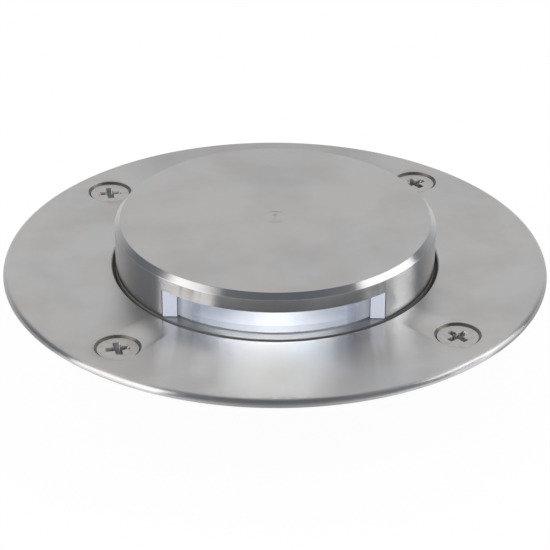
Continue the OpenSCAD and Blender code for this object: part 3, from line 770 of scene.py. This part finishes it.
SLOT_MATERIALS = {
    "turned_stainless": STEEL,
    "screw_stainless": SCREW_STEEL,
    "clear_lens": LENS,
    "reflector_plastic": lit_channel(),
    "seal_rubber": moulded("seal_rubber", (0.03, 0.03, 0.032), 0.55, grain=0.03, scale=1.5),
    "glide_plastic": moulded("glide_plastic", (0.82, 0.81, 0.77), 0.45),
    "cast_aluminium": metal("cast_aluminium", (0.46, 0.47, 0.48), 0.52, grain=0.08, scale=1.1),
    "plated_steel": metal("plated_steel", (0.62, 0.6, 0.56), 0.3),
    "insert_brass": metal("insert_brass", (0.72, 0.53, 0.25), 0.3),
    "plate_aluminium": metal("plate_aluminium", (0.66, 0.67, 0.69), 0.34),
    "board_white": moulded("board_white", (0.85, 0.85, 0.83), 0.4),
    "board_green": moulded("board_green", (0.03, 0.2, 0.08), 0.35),
    "led_phosphor": moulded("led_phosphor", (0.92, 0.78, 0.3), 0.35),
    "thermal_silicone": moulded("thermal_silicone", (0.72, 0.55, 0.58), 0.6),
    "component_black": moulded("component_black", (0.03, 0.03, 0.035), 0.45),
    "capacitor_can": metal("capacitor_can", (0.6, 0.6, 0.62), 0.3),
    "terminal_plastic": moulded("terminal_plastic", (0.8, 0.78, 0.68), 0.45),
    "lead_red": moulded("lead_red", (0.5, 0.03, 0.03), 0.4),
    "lead_black": moulded("lead_black", (0.02, 0.02, 0.022), 0.4),
    "gland_plastic": moulded("gland_plastic", (0.12, 0.125, 0.13), 0.5),
}
BODY_OF = {node: body for body, nodes in frame["record"]["behaviour"]["bodies"].items() for node in nodes}
SLOT_OF = {part["node"]: part["material_slot"] for part in frame["record"]["subparts"]}
for node, slot in SLOT_OF.items():
    NODES[node].data.materials.clear()
    NODES[node].data.materials.append(SLOT_MATERIALS[slot])


def flange_outline():
    """Section of the ring: bore, chamfered hole edge, flat face, rounded rim, seat and spigot."""
    return rounded([(HOLE_R, Z_SPIGOT, EDGE), (HOLE_R, Z_FACE - HOLE_CHAMFER, HOLE_ROUND),
                    (HOLE_R + HOLE_CHAMFER, Z_FACE, HOLE_ROUND), (FLANGE_R, Z_FACE, RIM_ROUND),
                    (FLANGE_R, 0, RIM_LOW_ROUND), (SPIGOT_R, 0, 0), (SPIGOT_R, Z_SPIGOT, EDGE)], 10)


def countersink():
    """Cutter of one screw hole: bore, cone of 90 degrees and a broken edge at the face."""
    mouth = HEAD_R + SCREW_SUNK + HEAD_LAND + MOUTH_GAP
    reach = 1.0
    profile = np.array([(SCREW_HOLE_R, Z_SPIGOT - reach), (SCREW_HOLE_R, Z_FACE - mouth + SCREW_HOLE_R),
                        (mouth - MOUTH_BREAK, Z_FACE - MOUTH_BREAK), (mouth + MOUTH_BREAK, Z_FACE),
                        (mouth + reach, Z_FACE + (reach - MOUTH_BREAK) / 2)])
    cut = turned(profile, SCREW_STEPS, False)
    angle = round_angles(SCREW_STEPS)
    for r, z in (profile[0], profile[-1]):
        cut.fan(np.stack([r * np.cos(angle), r * np.sin(angle), np.full(SCREW_STEPS, z)], 1))
    return cut


def flange():
    """The flange ring with its four countersunk holes."""
    hole = countersink()
    places = [SCREW_CIRCLE_R * direction(math.radians(angle)) for angle in SCREW_ANGLES]
    cuts = [Shell().add(hole, None, place) for place in places]
    return piece("turned_flange", turned(flange_outline()), FLANGE_STEEL, "cover",
                 ["flange_ring"], cuts)


def cross_outline(arm, width, inner_round):
    """Outline of a cross with four arms, rounded in its inner corners and at the arms' ends."""
    half = width / 2
    one_arm = ((arm, -half, CROSS_END_ROUND), (arm, half, CROSS_END_ROUND), (half, half, inner_round))
    corners = []
    for quarter in range(4):
        c = round(math.cos(quarter * math.pi / 2))
        s = round(math.sin(quarter * math.pi / 2))
        corners += [(x * c - y * s, x * s + y * c, r) for x, y, r in one_arm]
    return rounded(corners, 3)


def cross_cutter():
    """Cutter of the cross recess: cross outlines that shrink with depth, under a flared mouth.

    Each level gives its height, and its shares of the arms' length and width.
    """
    levels = [(0.35, 1.24, 1.75), (0.0, 1.02, 1.06), (-0.08, 1.0, 1.0), (-0.75, 0.8, 0.9), (-1.4, 0.62, 0.8),
              (-1.75, 0.36, 0.6), (-CROSS_DEPTH, 0.12, 0.2)]
    shortest = 0.75
    loops = []
    for z, arm_share, width_share in levels:
        width = CROSS_ARM * width_share
        arm = CROSS_W / 2 * arm_share
        outline = cross_outline(max(arm, width * shortest), width, CROSS_INNER_ROUND * width_share)
        loops.append(np.column_stack([outline, np.full(len(outline), z)]))
    cut = Shell().grid(np.array(loops), False, True)
    return cut.fan(loops[0]).fan(loops[-1])


def screw_body():
    """Countersunk screw about its own axis, with its head's face at zero: head, cone and a helical thread.

    The phase of a point at height z and angle a is the fraction in z / PITCH + a / (2 pi). The thread's
    radius falls from SCREW_R by THREAD_DEPTH times twice the phase's distance from a half. The thread runs
    in over the first pitch and tapers over the last one.
    """
    length = Z_SCREW - Z_SCREW_TIP
    z_neck = -HEAD_LAND - (HEAD_R - SCREW_R)
    head = rounded([(0, 0, 0), (HEAD_R, 0, HEAD_ROUND), (HEAD_R, -HEAD_LAND, HEAD_ROUND / 2),
                    (SCREW_R, z_neck, NECK_ROUND), (SCREW_R, z_neck - NECK_H, 0)], 4, False)
    shell = turned(head, SCREW_STEPS, False)
    z_thread = head[-1, 1]
    down = np.linspace(z_thread, -length, int((length + z_thread) / PITCH * THREAD_ROWS))[:, None]
    angle = round_angles(SCREW_STEPS)[None, :]
    phase = (down / PITCH + angle / (2 * math.pi)) % 1
    tooth = 1 - np.abs(phase * 2 - 1)
    run_in = np.clip((z_thread - down) / PITCH, 0, 1)
    run_out = np.clip((down + length) / PITCH, 0, 1)
    r = SCREW_R - THREAD_DEPTH * (1 - tooth) * run_in - TIP_TAPER * (1 - run_out)
    z = np.broadcast_to(down, r.shape)
    thread = np.stack([r * np.cos(angle), r * np.sin(angle), z], -1)
    return shell.grid(thread, False, True).fan(thread[-1])


def flange_screws():
    """The four screws, each a copy of one with its cross recess cut."""
    made = mesh_object("flange_screw_set", screw_body())
    cut_away(made, cross_cutter())
    one = shell_of(made.data)
    bpy.data.objects.remove(made)
    screws = Shell()
    for place, cross in zip(SCREW_ANGLES, CROSS_ANGLES):
        offset = SCREW_CIRCLE_R * direction(math.radians(place)) + np.array([0, 0, Z_SCREW])
        screws.add(one, turn_matrix(math.radians(cross)), offset)
    return piece("countersunk_screws", screws, SCREW_STEEL, "cover", ["flange_screws"])


def cap_outline():
    """Section of the cap: mark, face, chamfer, wall, collar, skirt with its groove, and the inside."""
    groove_top = Z_O_RING + GROOVE_W / 2
    groove_low = Z_O_RING - GROOVE_W / 2
    under_top = Z_CAP - CAP_TOP_T
    return rounded([(0, Z_CAP - MARK_H, 0), (MARK_R, Z_CAP, EDGE),
                    (MARK_RING_R - MARK_RING_HALF_W, Z_CAP, MARK_RING_ROUND),
                    (MARK_RING_R, Z_CAP - MARK_RING_H, MARK_RING_ROUND),
                    (MARK_RING_R + MARK_RING_HALF_W, Z_CAP, MARK_RING_ROUND),
                    (CAP_R - CAP_CHAMFER, Z_CAP, EDGE), (CAP_R, Z_CAP - CAP_CHAMFER, EDGE),
                    (CAP_R, Z_SPIGOT, 0), (COLLAR_R, Z_SPIGOT, EDGE), (COLLAR_R, Z_COLLAR, EDGE),
                    (CAP_R, Z_COLLAR, 0), (CAP_R, groove_top, EDGE), (GROOVE_R, groove_top, 0),
                    (GROOVE_R, groove_low, 0), (CAP_R, groove_low, EDGE), (CAP_R, Z_SKIRT, EDGE),
                    (CAP_BORE_R, Z_SKIRT, EDGE), (CAP_BORE_R, under_top, CAP_INNER_ROUND),
                    (0, under_top, 0)], 5, False)


def window_cut(half_w, flat=WINDOW_FLAT):
    """Straight block in front of a flat, to a half width: eight corners and six faces."""
    y_near = -CAP_R - CUT_REACH
    corners = [(x, y, z) for z in (Z_FACE, Z_CAP - WINDOW_DROP) for x, y in (
        (-half_w, y_near), (half_w, y_near), (half_w, -flat), (-half_w, -flat))]
    faces = [[3, 2, 1, 0], [4, 5, 6, 7], [0, 1, 5, 4], [1, 2, 6, 5], [2, 3, 7, 6], [3, 0, 4, 7]]
    return Shell().add(Shell().patch(np.array(corners, float), faces), turn_matrix(AIM))


def post():
    """Tube under the cap's top that takes a screw: a turned section with a bored end."""
    under_top = Z_CAP - CAP_TOP_T
    top = under_top + POST_OVERLAP
    section = rounded([(0, top, 0), (POST_R, top, 0), (POST_R, Z_LENS_LOW, POST_ROUND),
                       (POST_BORE_R, Z_LENS_LOW, POST_BORE_ROUND),
                       (POST_BORE_R, under_top - POST_BORE_END, 0),
                       (0, under_top - POST_DRILL_POINT, 0)], 3, False)
    return turned(section, POST_STEPS, False)


def cap():
    """The cap with its window cut straight across, and the three posts for the reflector's screws."""
    posts = Shell()
    for degrees in POST_ANGLES:
        posts.add(post(), None, POST_CIRCLE_R * direction(math.radians(degrees) + AIM))
    piece("reflector_posts", posts, STEEL, "head")
    return piece("turned_cap", turned(cap_outline(), closed=False), STEEL, "head",
                 ["cap"], [window_cut(CAP_R + CUT_REACH)])


def arc_block(r_in, r_out, half, edge):
    """Curved block behind the window, as high as the lens: a rounded section swept over an angle.

    Near each end the section shrinks by edge (1 - cos t) while it moves on by edge sin t, which rounds the
    ends.
    """
    bend = np.linspace(0, math.pi / 2, 5)
    middle = np.array([(r_in + r_out) / 2, (Z_LENS_LOW + Z_LENS_TOP) / 2])
    size = np.array([r_out - r_in, Z_LENS_TOP - Z_LENS_LOW])
    ends = edge / middle[0]
    inset = np.concatenate([edge * (1 - np.sin(bend)), np.zeros(BLOCK_STEPS), edge * (1 - np.cos(bend))])
    swing = np.concatenate([-half + ends * (1 - np.cos(bend)),
                            np.linspace(-half + ends, half - ends, BLOCK_STEPS),
                            half - ends + ends * np.sin(bend)])
    section = rounded([(r_in, Z_LENS_LOW, edge), (r_out, Z_LENS_LOW, edge), (r_out, Z_LENS_TOP, edge),
                       (r_in, Z_LENS_TOP, edge)], 4)
    scale = 1 - 2 * inset[:, None, None] / size
    profile = middle + (section[None] - middle) * scale
    angle = -math.pi / 2 + swing[:, None]
    r = profile[..., 0]
    points = np.stack([r * np.cos(angle), r * np.sin(angle), profile[..., 1]], -1)
    block = Shell().grid(points, False, True).fan(points[0]).fan(points[-1])
    return Shell().add(block, turn_matrix(AIM))


def lens():
    """The curved clear lens behind the window."""
    block = arc_block(LENS_INNER_R, LENS_R, LENS_HALF, LENS_ROUND)
    return piece("curved_lens", block, LENS, "head", ["window_lens"])


def lens_seal():
    """The thin rubber frame between the lens and the wall, open where the window is."""
    block = arc_block(LENS_R, SEAL_R, LENS_HALF, SEAL_ROUND)
    return piece("lens_seal_frame", block, LENS_SEAL, "head", ["lens_seal"],
                 [window_cut(WINDOW_HALF_W, WINDOW_FLAT - SEAL_CUT_REACH)])


def refined(node, name, edge, segments=2):
    """Copy of a CAD node with its doubles merged, its flat faces joined and its edges rounded."""
    mesh = NODES[node].data.copy()
    mesh.name = name
    merge_doubles(mesh)
    obj = linked(name, mesh)
    join = obj.modifiers.new("join", "DECIMATE")
    join.decimate_type = "DISSOLVE"
    join.angle_limit = JOIN_ANGLE
    bevel = obj.modifiers.new("edges", "BEVEL")
    bevel.width = edge * MM
    bevel.segments = segments
    bevel.limit_method = "ANGLE"
    bevel.angle_limit = BEVEL_ANGLE
    bevel.use_clamp_overlap = True
    apply_modifiers(obj)
    return dress(obj, SLOT_MATERIALS[SLOT_OF[node]], BODY_OF[node], [node])


def camera():
    """Camera at the photograph's view: on a sphere round the middle of the flange, pitched and rolled."""
    forward_azimuth = CAMERA_AZIMUTH + math.pi
    back = direction(CAMERA_AZIMUTH, CAMERA_ELEVATION)
    eye = np.array([0, 0, Z_FACE]) + CAMERA_DISTANCE * back
    forward = direction(forward_azimuth, -(CAMERA_ELEVATION + CAMERA_PITCH))
    right = direction(forward_azimuth - math.pi / 2)
    up = np.cross(right, forward)
    rolled_right = right * math.cos(CAMERA_ROLL) + up * math.sin(CAMERA_ROLL)
    rolled_up = up * math.cos(CAMERA_ROLL) - right * math.sin(CAMERA_ROLL)
    data = bpy.data.cameras.new("camera")
    data.sensor_width = SENSOR_W
    data.lens = FOCAL_PX * data.sensor_width / FRAME_PX
    data.clip_start = CLIP_START * MM
    obj = linked("camera", data)
    columns = np.column_stack([rolled_right, rolled_up, -forward, eye * MM])
    obj.matrix_world = Matrix([*columns, (0, 0, 0, 1)])
    bpy.context.scene.camera = obj


def soft_box(name, azimuth, half_width, low, top, colour):
    """Upright area lamp that faces the object, as wide and high as the angles say.

    Its sides lie half_width degrees from an azimuth that counts from the camera's side, and its lower and
    upper edges at two elevations. Its radiance is the colour's.
    """
    out = direction(CAMERA_AZIMUTH + math.radians(azimuth))
    side = np.cross([0, 0, 1], out)
    z_low = BOX_DISTANCE * math.tan(math.radians(low)) * MM
    z_top = BOX_DISTANCE * math.tan(math.radians(top)) * MM
    data = bpy.data.lights.new(name, "AREA")
    data.shape = "RECTANGLE"
    data.size = 2 * BOX_DISTANCE * math.tan(math.radians(half_width)) * MM
    data.size_y = z_top - z_low
    data.color = colour
    data.energy = math.pi * data.size * data.size_y
    obj = linked(name, data)
    middle = out * BOX_DISTANCE * MM + np.array([0, 0, (z_low + z_top) / 2])
    columns = np.column_stack([side, np.cross(out, side), out, middle])
    obj.matrix_world = Matrix([*columns, (0, 0, 0, 1)])


def floor():
    """Plain pale floor under the housing, which shows almost white and keeps a soft shadow.

    Metal shows it white in front on both sides, pale behind the object and dim elsewhere.
    """
    f = Finish("floor_white")
    path = "ShaderNodeLightPath"
    x, y = f.parts(f.place())[:2]
    out = direction(CAMERA_AZIMUTH)
    forward = x * float(out[0]) + y * float(out[1])
    across = (x * float(-out[1]) + y * float(out[0])).math("ABSOLUTE")
    white = f.between(forward, FLOOR_START, FLOOR_START + FLOOR_FADE)
    white = white * f.between(across, FLOOR_HALF_W, FLOOR_HALF_W + FLOOR_FADE)
    pale = f.between(forward, -FLOOR_BACK, -FLOOR_BACK - FLOOR_FADE)
    shown = white * (1 - FLOOR_DIM_SHARE) + pale * (FLOOR_PALE_SHARE - FLOOR_DIM_SHARE) + FLOOR_DIM_SHARE
    seen = f.node(path, output="Is Camera Ray") + f.node(path, output="Is Transmission Ray")
    seen = seen + f.node(path, output="Is Glossy Ray") * shown
    lit = f.node("ShaderNodeBsdfDiffuse", None, {"Color": (*FLOOR_GREY, 1)})
    glow = f.node("ShaderNodeEmission", None, {"Color": (1, 1, 1, 1), "Strength": FLOOR_WHITE})
    material = f.end(f.node("ShaderNodeMixShader", None, {0: seen * FLOOR_WHITE_SHARE, 1: lit, 2: glow}))
    ends = (-FLOOR_REACH, FLOOR_REACH)
    corners = np.array([[(east, north, Z_BASE) for east in ends] for north in ends])
    obj = mesh_object("floor", Shell().grid(corners))
    obj.data.materials.append(material)


def world():
    """Soft light from all round: pale behind the object as the camera sees it, dimmer to the sides.

    The pale part is a ramp of the direction's share towards the back, times one of its height. It is wider
    above BACK_RISE. The front is a little brighter than the sides, low down. A camera ray sees plain white.
    """
    made = bpy.data.worlds.new("studio")
    made.use_nodes = True
    f = Finish.of_tree(made.node_tree)
    x, y, z = f.parts(f.node("ShaderNodeTexCoord", output="Generated"))
    back = direction(CAMERA_AZIMUTH + math.pi)
    never_zero = 0.001
    level = (x * x + y * y).math("SQRT") + never_zero
    behind = (x * float(back[0]) + y * float(back[1])) / level
    wider = (z - BACK_RISE[0]).math("MAXIMUM", 0.0) * BACK_RISE[1]
    pale = f.between(behind + wider, *BACK_SPREAD) * f.between(z, *BACK_HEIGHT, 1.0, 0.0)
    front = f.between(behind, *FRONT_SPREAD) * f.between(z, *FRONT_HEIGHT, 1.0, 0.0)
    light = f.mix(pale, f.mix(front, SIDE_LIGHT, FRONT_LIGHT), BACK_LIGHT)
    seen = f.node("ShaderNodeLightPath", output="Is Camera Ray")
    shown = f.node("ShaderNodeBackground", None, {"Color": f.mix(seen, light, (1, 1, 1))})
    f.node("ShaderNodeOutputWorld", None, {"Surface": shown})
    bpy.context.scene.world = made


camera()
world()
floor()
for box in BOXES:
    soft_box(*box)

flange()
flange_screws()
cap()
lens()
lens_seal()
refined("reflector", "light_channel", 0.25, 3)
for node, name, edge in REFINED:
    refined(node, name, edge)

bpy.context.scene.view_settings.view_transform = "Standard"
